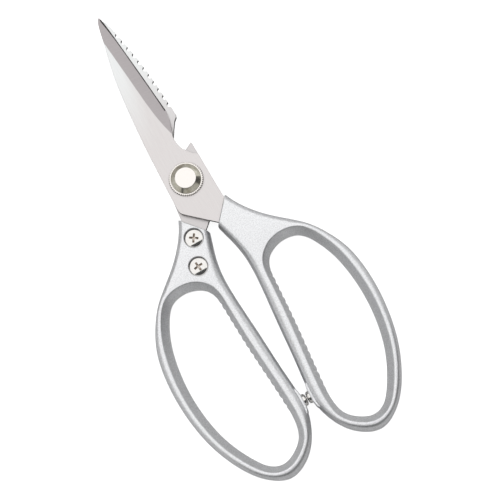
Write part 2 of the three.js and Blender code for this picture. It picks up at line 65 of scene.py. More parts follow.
HANDLE_TOP = node_size("right_handle")[1].z
MID_HEIGHT = HANDLE_TOP / 2
BLADE_BOTTOM = node_size("front_blade")[0].z
BLADE_TOP = node_size("front_blade")[1].z
KNURL_BOTTOM, KNURL_TOP = (corner.z for corner in node_size("knurled_washer"))
WASHER_BOTTOM, WASHER_TOP = (corner.z for corner in node_size("plain_washer"))
NUT_TOP = node_size("pivot_nut")[1].z
HEAD_TOP = node_size("pivot_bolt")[1].z
HEAD_RADIUS = node_size("pivot_bolt")[1].x

BEVEL_WIDTH = 5.2
BEVEL_SLOPE = 0.375
BEVEL_OVERRUN = 4
EDGE_BEVEL_WIDTH = 0.47
EDGE_BEVEL_SLOPE = 1.1
EDGE_BEVEL_REACH = 1.6
WEDGE_RISE = 0.3
PLATE_CHAMFER = 0.12
OVERCUT = 1

GULLET_COUNT = 11
GULLET_PITCH = 3.77
GULLET_RADIUS = 1.1
FIRST_GULLET_Y = 70.5

# Material slots of a blade past its flat face, and the tilt in degrees of the faces that get them.
BEVEL_SLOT, EDGE_SLOT, SIDE_SLOT = 1, 2, 3
BEVEL_TILT = (14, 30)
EDGE_TILT = (38, 60)
SIDE_TILT = (80, 100)
EDGE_LOWEST_Y = 25

PIVOT_HOLE_RADIUS = 3.15
BOLT_RADIUS = 3
BOLT_END = 1.0
BOLT_CHAMFER = 0.2
WASHER_GAP = 0.05
HEAD_SIDE = 0.3
HEAD_FLAT_RADIUS = 4.4
TURNED_ROUNDING = 0.14
RING_CHAMFER = 0.15
KNURL_RADIUS = 7.45
KNURL_TEETH = 50
KNURL_DEPTH = 0.5
KNURL_FACE_RADIUS = 6.6
STEPS_PER_TOOTH = 8
PLAIN_WASHER_RADIUS = 7.0
NUT_RADIUS = 6.2
NUT_CHAMFER = 0.9
NUT_HOLE_RADIUS = 3.1
NUT_FLOOR = 0.75
SPANNER_HOLE_X = 4.2
SPANNER_HOLE_RADIUS = 0.8
SPANNER_HOLE_TOP = 1.2

SCREW_POINTS = [(9.05, -24.15), (13.05, -35.6)]
SCREW_CROSS_TURN = [math.radians(33), math.radians(-8)]
SCREW_HOLE_RADIUS = 2.15
SCREW_HEAD_RADIUS = 3.95
SCREW_HEAD_HEIGHT = 2.35
SCREW_HEAD_RECESS = 0.05
SCREW_CROWN = 0.8
SCREW_EDGE_ROUNDING = 0.25
SCREW_EDGE_TILT = 0.41
SCREW_SHANK_RADIUS = 1.9
SCREW_SHANK_LENGTH = 6.2
# Half length and half width of a bar of the cross recess.
CROSS_MOUTH = (2.05, 0.46)
CROSS_FLOOR = (0.8, 0.28)
CROSS_DEPTH = 2.0
# Where the walls of the recess lie: within a radius, above a depth and clear of the dome.
CROSS_RADIUS = 2.1
CROSS_DEEPEST = 2.2
CROSS_LIP = 0.12
COUNTERBORE_RADIUS = 4.06
COUNTERBORE_DEPTH = 2.5
COUNTERBORE_FLARE = 0.26
COUNTERBORE_CHAMFER = 0.3

STOP_Y = -105.0
BOSS_FACE_X = 1.6
BOSS_HALF_HEIGHT = 3.7
BOSS_CHAMFER = 0.35
STUD_RADIUS = 2.65
STUD_HEIGHT = 1.53
STUD_SIDE = 0.55
STUD_FULLNESS = 0.6
STUD_ROOT = 0.3
STUD_CHAMFER = 0.1

NECK_END = [(2.1, -24.7), (11.4, -13.8)]
NECK_CHAMFER = 0.35
SLOT_MARGIN = 0.2
SLOT_HEADROOM = 0.1
SLOT_CHAMFER = 0.05
OUTER_FULLNESS = 2 / 2.4
# The inner side goes up from mid height to a wall's top, a lip, the slope and then the flat face.
INNER_WALL_TOP = 0.55
INNER_LIP = (0.35, 1.35)
INNER_FLAT = 1.1
INNER_RIM_ROUNDING = 0.5
RIB_COUNT = 18
RIB_DEPTH = 0.5
RIB_VALLEY = 0.45
RIB_FULLNESS = 0.7
RIB_FADE = 0.6

# Points round a shape, or along it.
HOLE_STEPS = 900
OUTER_STEPS = 760
OUTER_LEVELS = 15
PIVOT_SEGMENTS = 128
SCREW_SEGMENTS = 96
STUD_SEGMENTS = 72
DRILL_SEGMENTS = 64
GULLET_SEGMENTS = 40
SPANNER_SEGMENTS = 32

# Points of an outline nearer than this are one point.
SAME_POINT = 0.02
# A rounded corner takes at most this share of either side that meets there.
MOST_OF_SIDE = 0.45

# Angles in degrees past which an edge between two faces is shaded sharp.
SHARP = 32
BLADE_SHARP = 12
HANDLE_SHARP = 34
KNURL_SHARP = 40

# ---- outlines seen from above, as in the CAD source ----------------------------------------

CUTTING_EDGE = [(2.4, 70), (4.4, 51.8), (6.5, 31)]
BEVEL_LINE = [(-4, 86), (-2.8, 70.4), (-1.4, 57.1), (0.2, 41.2), (1.5, 30.8), (3.3, 22.4), (5.6, 15.5)]

FRONT_TIP = [(-0.3, 80.4), (0.35, 81.2), (1, 80.1)]
FRONT_NOTCH = [(6.5, 31), (6.2, 28.2), (5.4, 24.5), (4, 19.9), (3.65, 17.2), (4.5, 13.1),
               (6.1, 10.8), (7.6, 9), (9.7, 7.4)]
FRONT_SIDE = [(10.1, -8.6), (10.4, -14.5)]
FRONT_SPINE = [(-9.45, -9), (-9.15, 4.8), (-8.75, 20.3), (-7.8, 36), (-6.3, 51.8), (-4.4, 62.4), (-2.8, 70)]
FRONT_SPINE_TIP = [(-2.8, 70), (-1.9, 75), (-1.1, 78.4), (-0.3, 80.4)]

REAR_TIP = [(-1.4, 79), (-0.6, 79.6), (0.2, 78)]
REAR_HEEL = [(6.5, 31), (6.9, 27), (8.3, 12), (8.8, 4)]
REAR_SIDE = [(9.6, -8), (10.3, -14.5)]
REAR_SPUR = [(-9.45, -9), (-9.5, 4), (-9.65, 9.5), (-9.5, 13), (-9.1, 13.8), (-6, 11.9)]
REAR_NOTCH = [(-6, 11.9), (-4, 12.8), (-3.2, 15.5), (-3.1, 18), (-3.95, 19.5)]
REAR_LIP = [(-3.95, 19.5), (-5.6, 22.2), (-7.6, 25.2), (-9, 26.4), (-9.4, 27.6)]
REAR_SPINE = [(-9.4, 27.6), (-9.05, 33), (-8.45, 40.5), (-7.75, 48), (-6.75, 55.6), (-5.45, 63),
              (-3.9, 70.5), (-3.1, 74), (-2.1, 78)]

LOWER_CORNER = [(-7.6, -13.2), (-9, -11.5), (-9.45, -9)]
NECK_CORNER = (3.3, -22.9)
TANG_RIGHT = [(10.4, -14.5), (13, -21.5), (15.5, -28.5), (16.6, -34.5), (16, -37.8), (13, -39)]
TANG_LEFT = [(11, -39), (8.5, -37.8), (7.4, -34.5), (6.2, -30), (3.3, -22.9)]
TANG_ROOT = [(2.2, -20.6), (8.6, -12)]

HANDLE_OUTLINE = [(9.9, -10.4), (11.4, -13.8), (14.9, -20.3), (23.7, -30.5), (35, -40.6), (42.1, -50.7),
                  (46.1, -60.7), (47.85, -76), (46.9, -90.5), (43.4, -105.2), (36, -119.9),
                  (28.7, -127.4), (20.2, -130.4), (9.5, -124.7), (3.6, -114.9), (1.9, -106),
                  (3, -90.5), (4.45, -70.7), (6.05, -48), (5, -35.6), (2.3, -25.4), (0.9, -18.5),
                  (0.8, -13), (2.6, -8.9), (6.9, -7.6)]
FINGER_HOLE = [(19.5, -43.1), (24.1, -42.3), (30.2, -43.9), (35.4, -50.7), (39.2, -60.7),
               (41.3, -75.7), (40.6, -90.5), (36.9, -105.2), (30.6, -117.2), (26, -122.3),
               (21, -123.8), (15.6, -121.9), (10.7, -117.3), (8.8, -110), (9, -100.3), (10.2, -85.5),
               (11.35, -70.7), (12.1, -55.7), (12.7, -50.5), (14.9, -45.9)]
# Width of the rounded outer side at places round the outline, clockwise from the neck.
OUTER_ROUNDING = [((11.4, -13.8), 2.8), ((23.7, -30.5), 3), ((35, -40.6), 2.9), ((47.85, -76), 3.2),
                  ((28.7, -127.1), 3.2), ((9.5, -124.6), 3.8), ((3, -90.5), 4.6), ((6.05, -48), 4.6),
                  ((5, -35.6), 3.2), ((2.3, -25.4), 2.7)]
# Width of the sloping inner side at places round the finger hole, clockwise from the neck.
INNER_SLOPE = [((19.5, -43.1), 2.9), ((39.2, -60.7), 3), ((36.9, -105.2), 3), ((21, -123.8), 2.75),
               ((10.7, -117.3), 2.5), ((8.8, -110), 2.2), ((12.1, -55.7), 1.9), ((14.9, -45.9), 2.45)]
LEAST_FLAT = 0.25
RIB_ENDS = [(8.7, -106.5), (12.7, -50.5)]
BOSS_OUTLINE = [(4.5, -98.3), (2.4, -99.4), (1.7, -101.6), (BOSS_FACE_X, -102.4),
                (BOSS_FACE_X, -107.6), (1.75, -108.4), (2.3, -110.4), (4.8, -112)]

# ---- curves --------------------------------------------------------------------------------


def cubic(points, count, closed=False):
    """count points along a cubic spline with even curvature through the points, evenly spaced."""
    knots = np.array(points, float)
    if closed:
        knots = np.vstack([knots, knots[:1]])
    gaps = np.sqrt(np.linalg.norm(np.diff(knots, axis=0), axis=1))
    at = np.concatenate([[0], np.cumsum(gaps)])
    size = len(knots)
    rows = np.zeros((size, size))
    right = np.zeros((size, 2))
    for i in range(1, size - 1):
        rows[i, i - 1 : i + 2] = gaps[i - 1], 2 * (gaps[i - 1] + gaps[i]), gaps[i]
        right[i] = 6 * ((knots[i + 1] - knots[i]) / gaps[i] - (knots[i] - knots[i - 1]) / gaps[i - 1])
    if closed:
        rows[0, [0, 1, -2]] = 2 * (gaps[-1] + gaps[0]), gaps[0], gaps[-1]
        right[0] = 6 * ((knots[1] - knots[0]) / gaps[0] - (knots[-1] - knots[-2]) / gaps[-1])
        rows[-1, [0, -1]] = 1, -1
    else:
        rows[0, 0] = rows[-1, -1] = 1
    bend = np.linalg.solve(rows, right)
    fine = np.linspace(0, at[-1], 40 * size + 1)
    piece = np.clip(np.searchsorted(at, fine, side="right") - 1, 0, size - 2)
    gap = gaps[piece][:, None]
    ahead = ((at[piece + 1] - fine) / gaps[piece])[:, None]
    behind = 1 - ahead
    line = (ahead * knots[piece] + behind * knots[piece + 1]
            + ((ahead**3 - ahead) * bend[piece] + (behind**3 - behind) * bend[piece + 1]) * gap**2 / 6)
    length = np.concatenate([[0], np.cumsum(np.linalg.norm(np.diff(line, axis=0), axis=1))])
    want = np.linspace(0, length[-1], count)
    return np.stack([np.interp(want, length, line[:, k]) for k in (0, 1)], axis=1)


def left_normals(line):
    """The unit vector to the left of an open line at each of its points."""
    along = np.gradient(line, axis=0)
    along /= np.linalg.norm(along, axis=1)[:, None]
    return np.stack([-along[:, 1], along[:, 0]], axis=1)


class Loop:
    """Closed clockwise curve through points, read by the share of its length."""

    SAMPLES = 6000

    def __init__(self, points):
        self.line = cubic(points, self.SAMPLES + 1, closed=True)
        along = np.roll(self.line[:-1], -1, axis=0) - np.roll(self.line[:-1], 1, axis=0)
        along /= np.linalg.norm(along, axis=1)[:, None]
        inward = np.stack([along[:, 1], -along[:, 0]], axis=1)
        self.inward = np.vstack([inward, inward[:1]])

    def share_near(self, point):
        return int(np.argmin(np.linalg.norm(self.line[:-1] - np.array(point), axis=1))) / self.SAMPLES

    def read(self, shares):
        at = np.mod(shares, 1) * self.SAMPLES
        whole = np.arange(self.SAMPLES + 1)
        place = np.stack([np.interp(at, whole, self.line[:, k]) for k in (0, 1)], axis=1)
        inward = np.stack([np.interp(at, whole, self.inward[:, k]) for k in (0, 1)], axis=1)
        return place, inward / np.linalg.norm(inward, axis=1)[:, None]


# ---- meshes --------------------------------------------------------------------------------


def add_object(name, data):
    """Object that holds the data, in the scene."""
    made = bpy.data.objects.new(name, data)
    bpy.context.scene.collection.objects.link(made)
    return made


def move(piece, x, y, z=0):
    """Moves a piece's mesh by millimetres."""
    piece.data.transform(Matrix.Translation((x * MM, y * MM, z * MM)))


def mesh_object(name, points, faces, sharp=SHARP):
    """Object from points in millimetres, smooth-shaded except across edges sharper than the angle."""
    mesh = bpy.data.meshes.new(name)
    mesh.from_pydata([tuple(float(c) * MM for c in p) for p in points], [], [tuple(f) for f in faces])
    bm = bmesh.new()
    bm.from_mesh(mesh)
    bmesh.ops.remove_doubles(bm, verts=bm.verts, dist=1e-7)
    bmesh.ops.recalc_face_normals(bm, faces=bm.faces)
    bm.to_mesh(mesh)
    bm.free()
    piece = add_object(name, mesh)
    shade(piece, sharp)
    return piece


def shade(piece, sharp=SHARP):
    """Shades a piece smooth, except across edges sharper than the angle in degrees."""
    mesh = piece.data
    mesh.polygons.foreach_set("use_smooth", [True] * len(mesh.polygons))
    mesh.set_sharp_from_angle(angle=math.radians(sharp))


def ring_faces(rings, count, closed=False):
    """Quads between rings of count points each, numbered ring after ring."""
    faces = []
    for r in range(rings if closed else rings - 1):
        here, ahead = r * count, ((r + 1) % rings) * count
        for i in range(count):
            j = (i + 1) % count
            faces.append((here + i, here + j, ahead + j, ahead + i))
    return faces


def turned(name, profile, segments, sharp=SHARP):
    """Solid of revolution about Z from (radius, height) pairs that start and end on the axis."""
    points = []
    rings = []
    for radius, height in profile:
        if radius < 1e-6:
            rings.append([len(points)])
            points.append((0, 0, height))
            continue
        rings.append(list(range(len(points), len(points) + segments)))
        angles = np.linspace(0, 2 * math.pi, segments, endpoint=False)
        points += [(radius * math.cos(a), radius * math.sin(a), height) for a in angles]
    faces = []
    for low, high in zip(rings, rings[1:]):
        for i in range(segments):
            j = (i + 1) % segments
            if len(low) == 1:
                faces.append((low[0], high[j], high[i]))
            elif len(high) == 1:
                faces.append((low[i], low[j], high[0]))
            else:
                faces.append((low[i], low[j], high[j], high[i]))
    return mesh_object(name, points, faces, sharp)


def round_corners(profile, radius, steps=4):
    """Profile with each inner corner rounded off to about the radius."""
    made = [profile[0]]
    for before, corner, after in zip(profile, profile[1:], profile[2:]):
        c = np.array(corner, float)
        back, on = np.array(before, float) - c, np.array(after, float) - c
        back_length, on_length = np.linalg.norm(back), np.linalg.norm(on)
        cut = min(radius, MOST_OF_SIDE * back_length, MOST_OF_SIDE * on_length)
        start, end = c + cut * back / back_length, c + cut * on / on_length
        for t in np.linspace(0, 1, steps + 1):
            made.append(tuple((1 - t) ** 2 * start + 2 * t * (1 - t) * c + t**2 * end))
    made.append(profile[-1])
    return made


def clean_outline(parts):
    """Parts joined to one closed outline, without points that fall together."""
    line = np.vstack([np.array(p, float).reshape(-1, 2) for p in parts])
    keep = [0]
    for i in range(1, len(line)):
        if np.linalg.norm(line[i] - line[keep[-1]]) > SAME_POINT:
            keep.append(i)
    if np.linalg.norm(line[keep[-1]] - line[0]) < SAME_POINT:
        keep.pop()
    return line[keep]


def outline_normals(line):
    """Outward unit vectors of a closed outline, whichever way it runs."""
    after, before = np.roll(line, -1, axis=0), np.roll(line, 1, axis=0)
    one = (line - before) / np.linalg.norm(line - before, axis=1)[:, None]
    two = (after - line) / np.linalg.norm(after - line, axis=1)[:, None]
    along = one + two
    along /= np.maximum(np.linalg.norm(along, axis=1), 1e-6)[:, None]
    area = np.sum(line[:, 0] * after[:, 1] - after[:, 0] * line[:, 1])
    turn = 1 if area > 0 else -1
    return turn * np.stack([along[:, 1], -along[:, 0]], axis=1)


def plate(name, line, bottom, top, chamfer, sharp=SHARP):
    """Flat plate of an outline with a small chamfer round both faces."""
    out = outline_normals(line)
    inner = line - chamfer * out
    rings = [(inner, bottom), (line, bottom + chamfer), (line, top - chamfer), (inner, top)]
    points = [(x, y, z) for ring, z in rings for x, y in ring]
    count = len(line)
    faces = ring_faces(4, count)
    faces.append(tuple(range(count)))
    faces.append(tuple(range(3 * count, 4 * count)))
    return mesh_object(name, points, faces, sharp)


def combine(piece, other, operation, sharp=SHARP):
    """Cuts or joins one mesh with another, and removes the other."""
    step = piece.modifiers.new("cut", "BOOLEAN")
    step.operation = operation
    step.solver = "EXACT"
    step.object = other
    bpy.context.view_layer.update()
    graph = bpy.context.evaluated_depsgraph_get()
    made = bpy.data.meshes.new_from_object(piece.evaluated_get(graph))
    piece.modifiers.clear()
    old = piece.data
    piece.data = made
    made.name = piece.name
    bpy.data.meshes.remove(old)
    bpy.data.objects.remove(other)
    shade(piece, sharp)
    return piece


def turn_over(piece):
    """Half a turn about the Y line at mid height."""
    flip = Matrix.Translation((0, 0, MID_HEIGHT * MM)) @ Matrix.Rotation(math.pi, 4, "Y")
    piece.data.transform(flip @ Matrix.Translation((0, 0, -MID_HEIGHT * MM)))
    return piece


def copied(piece, name):
    """Second object with its own copy of a piece's mesh."""
    other = add_object(name, piece.data.copy())
    other.data.name = name
    return other


# ---- blades --------------------------------------------------------------------------------


def tang_outline():
    """The narrow root of a blade that goes into the handle."""
    return clean_outline([cubic(TANG_RIGHT, 60), cubic(TANG_LEFT, 50), TANG_ROOT])


def front_outline():
    """Front blade: cutting edge, notch beside the pivot, side, lower corner and spine."""
    return clean_outline([
        cubic(FRONT_TIP + CUTTING_EDGE, 90),
        cubic(FRONT_NOTCH, 90),
        FRONT_SIDE,
        [NECK_CORNER],
        cubic(LOWER_CORNER, 24),
        cubic(FRONT_SPINE, 90),
        cubic(FRONT_SPINE_TIP, 20),
    ])


def rear_outline():
    """Rear blade: cutting edge, heel, side, lower corner, opener with its spur and lip, and spine."""
    return clean_outline([
        cubic(REAR_TIP + CUTTING_EDGE, 90),
        cubic(REAR_HEEL, 30),
        REAR_SIDE,
        [NECK_CORNER],
        cubic(LOWER_CORNER, 24),
        REAR_SPUR,
        cubic(REAR_NOTCH, 30),
        REAR_LIP,
        cubic(REAR_SPINE, 160),
    ])


def grinding_wedge(line, start_height, slope, reach):
    """Cutter whose lower face slopes down to the left of a line, from a height above the plate."""
    side = left_normals(line)
    near = line - side * (WEDGE_RISE / slope)
    far = line + side * reach
    high, low = start_height + WEDGE_RISE, start_height - reach * slope
    points = []
    for a, b in zip(near, far):
        points += [(*a, high), (*b, high), (*b, low)]
    count = len(line)
    faces = ring_faces(count, 3)
    faces += [(0, 1, 2), (3 * count - 1, 3 * count - 2, 3 * count - 3)]
    return mesh_object("wedge", points, faces)


def hole_cutter(radius, bottom, top, x, y, segments=DRILL_SEGMENTS):
    """Upright cylinder that cuts a hole at a place."""
    cutter = turned("cutter", [(0, bottom), (radius, bottom), (radius, top), (0, top)], segments)
    move(cutter, x, y)
    return cutter


def cut_blade_through(piece, radius, x, y, segments=DRILL_SEGMENTS, sharp=SHARP):
    """Cuts a round hole right through a blade."""
    cutter = hole_cutter(radius, BLADE_BOTTOM - OVERCUT, BLADE_TOP + OVERCUT, x, y, segments)
    combine(piece, cutter, "DIFFERENCE", sharp)


def grind_bevels(piece, edge_points):
    """Grinds the wide bevel, then the narrow honed one along the cutting edge."""
    bevel_line = cubic(BEVEL_LINE, 90)
    bevel = grinding_wedge(bevel_line, BLADE_TOP, BEVEL_SLOPE, BEVEL_WIDTH + BEVEL_OVERRUN)
    combine(piece, bevel, "DIFFERENCE")
    edge = cubic(edge_points, 120)
    edge_line = edge - left_normals(edge) * EDGE_BEVEL_WIDTH
    edge_height = BLADE_TOP - (BEVEL_WIDTH - EDGE_BEVEL_WIDTH) * BEVEL_SLOPE
    honing = grinding_wedge(edge_line, edge_height, EDGE_BEVEL_SLOPE, EDGE_BEVEL_REACH)
    combine(piece, honing, "DIFFERENCE")


def make_blade(name, outline, edge_points):
    """Blade with its tang, its bevels, its pivot hole and its screw holes."""
    piece = plate(name, outline, BLADE_BOTTOM, BLADE_TOP, PLATE_CHAMFER)
    tang = plate("tang", tang_outline(), BLADE_BOTTOM, BLADE_TOP, PLATE_CHAMFER)
    combine(piece, tang, "UNION")
    grind_bevels(piece, edge_points)
    cut_blade_through(piece, PIVOT_HOLE_RADIUS, 0, 0)
    for x, y in SCREW_POINTS:
        cut_blade_through(piece, SCREW_HOLE_RADIUS, x, y)
    shade(piece, BLADE_SHARP)
    return piece


def cut_gullets(piece):
    """Round bites along the rear blade's spine that make the fish scaler."""
    spine = cubic(REAR_SPINE, 700)
    for place in range(GULLET_COUNT):
        y = FIRST_GULLET_Y - place * GULLET_PITCH
        x = float(np.interp(y, spine[:, 1], spine[:, 0]))
        cut_blade_through(piece, GULLET_RADIUS, x, y, GULLET_SEGMENTS, BLADE_SHARP)
    return piece


def tilt_of(face, up=1):
    """Degrees from straight up to the way a face points, or from straight down if up is -1."""
    return math.degrees(math.acos(max(-1, min(1, up * face.normal.z))))


def between(value, limits):
    """Whether a value lies inside a pair of limits."""
    return limits[0] < value < limits[1]


def mark_ground_faces(piece, up):
    """Gives the bevel, the honed edge and the cut side their own materials, by the face's tilt."""
    # The honed edge and the cut side get materials painted dark as shade.
    for face in piece.data.polygons:
        tilt = tilt_of(face, up)
        cutting_side = face.center.y > EDGE_LOWEST_Y * MM and up * face.center.x > 0
        faces_sideways = abs(face.normal.y) < 0.5
        if between(tilt, BEVEL_TILT):
            face.material_index = BEVEL_SLOT
        elif between(tilt, EDGE_TILT) and cutting_side and faces_sideways:
            face.material_index = EDGE_SLOT
        elif between(tilt, SIDE_TILT):
            face.material_index = SIDE_SLOT


# ---- handles -------------------------------------------------------------------------------


def outer_profile(roundness):
    """Rounded outer side from mid height to the flat top: (distance in, height above middle)."""
    return [(roundness * (1 - math.cos(a) ** OUTER_FULLNESS), MID_HEIGHT * math.sin(a) ** OUTER_FULLNESS)
            for a in np.linspace(0, math.pi / 2, OUTER_LEVELS)]


def inner_profile(band):
    """Sloping inner side from mid height to the flat top: (distance in from the hole, height)."""
    rim = [(0, 0), (0, INNER_WALL_TOP), INNER_LIP, (band, MID_HEIGHT), (band + INNER_FLAT, MID_HEIGHT)]
    return round_corners(rim, INNER_RIM_ROUNDING)[:-1]


def side_strip(bm, rings):
    """Adds the surface between the mid-height ring and its mirror images up and down the rings."""
    count = len(rings[0])
    levels = [[(x, y, MID_HEIGHT - h) for x, y, h in ring] for ring in rings[:0:-1]]
    levels += [[(x, y, MID_HEIGHT + h) for x, y, h in ring] for ring in rings]
    made = [[bm.verts.new([c * MM for c in point]) for point in level] for level in levels]
    for low, high in zip(made, made[1:]):
        for i in range(count):
            j = (i + 1) % count
            bm.faces.new((low[i], low[j], high[j], high[i]))
    return made[0], made[-1]


def along_loop(loop, widths, shares):
    """Widths given at places on a loop, eased from each to the next, at the shares."""
    marks = sorted((loop.share_near(place), width) for place, width in widths)
    marks = [(marks[-1][0] - 1, marks[-1][1])] + marks + [(marks[0][0] + 1, marks[0][1])]
    at = np.array([mark[0] for mark in marks])
    width = np.array([mark[1] for mark in marks])
    i = np.searchsorted(at, shares, side="right") - 1
    part = (shares - at[i]) / (at[i + 1] - at[i])
    return width[i] + part * part * (3 - 2 * part) * (width[i + 1] - width[i])


def rib_waves(loop, shares):
    """Grip ribs round the hole: crests stand into the opening and valleys dip into the metal."""
    start, end = (loop.share_near(place) for place in RIB_ENDS)
    part = np.mod(shares - start, 1) / ((end - start) % 1)
    ramp = np.clip(RIB_COUNT * np.minimum(part, 1 - part), 0, 1)
    return ramp * (np.abs(np.sin(math.pi * RIB_COUNT * part)) ** RIB_FULLNESS - RIB_VALLEY)


def hole_rings(opening):
    """Rings of the sloping inner side with its grip ribs, from mid height up."""
    shares = np.linspace(0, 1, HOLE_STEPS, endpoint=False)
    place, inward = opening.read(shares)
    widths = along_loop(opening, INNER_SLOPE, shares)
    waves = RIB_DEPTH * rib_waves(opening, shares)
    profiles = [inner_profile(width) for width in widths]
    rings = []
    for level in range(len(profiles[0])):
        ring = []
        for p, n, profile, wave, width in zip(place, inward, profiles, waves, widths):
            back, height = profile[level]
            rib = wave * max(0, 1 - back / width) ** RIB_FADE
            ring.append((*(p - (back - rib) * n), height))
        rings.append(ring)
    return rings


def outer_rings(silhouette, hole_edge):
    """Rings of the rounded outer side, which on the slender bars runs nearly up to the hole's edge."""
    shares = np.linspace(0, 1, OUTER_STEPS, endpoint=False)
    place, inward = silhouette.read(shares)
    edge = np.array(hole_edge)[:, :2]
    room = np.array([np.min(np.linalg.norm(edge - p, axis=1)) for p in place]) - LEAST_FLAT
    widths = np.minimum(along_loop(silhouette, OUTER_ROUNDING, shares), room)
    profiles = [outer_profile(width) for width in widths]
    rings = []
    for level in range(len(profiles[0])):
        rings.append([(*(p + profile[level][0] * n), profile[level][1])
                      for p, n, profile in zip(place, inward, profiles)])
    return rings


def finger_loop(name):
    """Ring of metal round the finger hole: its two sides and the flat faces between them."""
    bm = bmesh.new()
    hole = hole_rings(Loop(FINGER_HOLE))
    hole_low, hole_high = side_strip(bm, hole)
    outer_low, outer_high = side_strip(bm, outer_rings(Loop(HANDLE_OUTLINE), hole[-1]))
    for rims in ((outer_low, hole_low), (outer_high, hole_high)):
        edges = [bm.edges.get((rim[i - 1], rim[i])) for rim in rims for i in range(len(rim))]
        bmesh.ops.triangle_fill(bm, use_beauty=True, edges=edges)
    bmesh.ops.recalc_face_normals(bm, faces=bm.faces)
    mesh = bpy.data.meshes.new(name)
    bm.to_mesh(mesh)
    bm.free()
    piece = add_object(name, mesh)
    shade(piece, HANDLE_SHARP)
    return piece


def trim_neck(piece):
    """Cuts the neck off flat at its front end, and breaks the end's upper and lower edges."""
    low, high = (np.array(p) for p in NECK_END)
    along = (high - low) / np.linalg.norm(high - low)
    out = Vector((-along[1], along[0], 0))
    bm = bmesh.new()
    bm.from_mesh(piece.data)
    foot = Vector((*low, 0)) * MM
    cuts = [(foot, out)]
    for up, face in ((1, HANDLE_TOP), (-1, 0.0)):
        edge = Vector((*low, face - up * NECK_CHAMFER)) * MM
        cuts.append((edge, (out + Vector((0, 0, up))).normalized()))
    for place, direction in cuts:
        geometry = bm.verts[:] + bm.edges[:] + bm.faces[:]
        bmesh.ops.bisect_plane(bm, geom=geometry, plane_co=place, plane_no=direction, clear_outer=True)
        rim = [e for e in bm.edges if e.is_boundary]
        bmesh.ops.contextual_create(bm, geom=rim)
    bm.to_mesh(piece.data)
    bm.free()


def add_boss(piece):
    """Joins the raised boss of the stop stud to the handle."""
    low, high = MID_HEIGHT - BOSS_HALF_HEIGHT, MID_HEIGHT + BOSS_HALF_HEIGHT
    line = clean_outline([cubic(BOSS_OUTLINE[:4], 24), cubic(BOSS_OUTLINE[4:], 24)])
    combine(piece, plate("boss", line, low, high, BOSS_CHAMFER), "UNION", HANDLE_SHARP)


def cut_tang_slot(piece):
    """Cuts the slot in the neck that the blade's tang lies in."""
    tang = tang_outline()
    line = tang + SLOT_MARGIN * outline_normals(tang)
    low, high = BLADE_BOTTOM - SLOT_HEADROOM, BLADE_TOP + SLOT_HEADROOM
    combine(piece, plate("slot", line, low, high, SLOT_CHAMFER), "DIFFERENCE", HANDLE_SHARP)


def counterbore_cutter(x, y):
    """Flat-bottomed cutter for a screw head, flared at the handle's underside."""
    r, depth, flare = COUNTERBORE_RADIUS, COUNTERBORE_DEPTH, COUNTERBORE_FLARE
    profile = [(0, -OVERCUT), (r + 4 * flare, -OVERCUT), (r + flare, 0), (r, flare),
               (r, depth - COUNTERBORE_CHAMFER), (r - COUNTERBORE_CHAMFER, depth), (0, depth)]
    cutter = turned("cutter", profile, SCREW_SEGMENTS)
    move(cutter, x, y)
    return cutter


def make_handle(name):
    """Right handle: finger loop and neck, with the boss, the tang's slot and the counterbores."""
    piece = finger_loop(name)
    trim_neck(piece)
    add_boss(piece)
    cut_tang_slot(piece)
    for x, y in SCREW_POINTS:
        combine(piece, counterbore_cutter(x, y), "DIFFERENCE", HANDLE_SHARP)
    return piece


# ---- fasteners -----------------------------------------------------------------------------


def screw_profile():
    """Half section of a pan-head screw: (radius, height), from the middle of the dome upwards."""
    r, top = SCREW_HEAD_RADIUS, SCREW_HEAD_RECESS
    crown, tilt, rounding = SCREW_CROWN, SCREW_EDGE_TILT, SCREW_EDGE_ROUNDING
    seat = top + SCREW_HEAD_HEIGHT
    end = seat + SCREW_SHANK_LENGTH
    shoulder = r - rounding * (1 - math.sin(tilt))
    dome = [(shoulder * t, top + crown * t**2) for t in np.linspace(0, 1, 16)]
    edge = [(r - rounding * (1 - math.sin(a)), top + crown + rounding * (math.cos(tilt) - math.cos(a)))
            for a in np.linspace(tilt, math.pi / 2, 7)[1:]]
    shank = [(SCREW_SHANK_RADIUS, seat), (SCREW_SHANK_RADIUS, end), (0, end)]
    return dome + edge + [(r, seat - 0.1), (r - 0.15, seat)] + shank


def make_screw(name, place):
    """Pan-head screw of the right handle, its head at the underside."""
    piece = turned(name, screw_profile(), SCREW_SEGMENTS)
    for turn in (0, math.pi / 2):
        arm = phillips_arm()
        spin = SCREW_CROSS_TURN[place] + turn
        lift = Matrix.Translation((0, 0, SCREW_HEAD_RECESS * MM))
        arm.data.transform(lift @ Matrix.Rotation(spin, 4, "Z"))
        combine(piece, arm, "DIFFERENCE")
    move(piece, *SCREW_POINTS[place])
    return piece


def mark_recess(piece, place, side):
    """Gives the walls and floor of the cross recess their own material slot, painted darker as shade."""
    x, y = SCREW_POINTS[place]
    for face in piece.data.polygons:
        away = math.hypot(face.center.x / MM - side * x, face.center.y / MM - y)
        depth = abs(face.center.z / MM - MID_HEIGHT) - MID_HEIGHT + SCREW_HEAD_RECESS
        dome = SCREW_CROWN * (away / SCREW_HEAD_RADIUS) ** 2
        if away < CROSS_RADIUS and -CROSS_DEEPEST < depth < -dome - CROSS_LIP:
            face.material_index = 1


def phillips_arm():
    """One tapered bar of the cross recess, open at height 0 and narrowing upwards."""
    points = []
    for (length, width), z in ((CROSS_MOUTH, -0.5), (CROSS_MOUTH, 0.1), (CROSS_FLOOR, CROSS_DEPTH)):
        points += [(-length, -width, z), (length, -width, z), (length, width, z), (-length, width, z)]
    faces = ring_faces(3, 4) + [(0, 1, 2, 3), (8, 9, 10, 11)]
    return mesh_object("arm", points, faces)


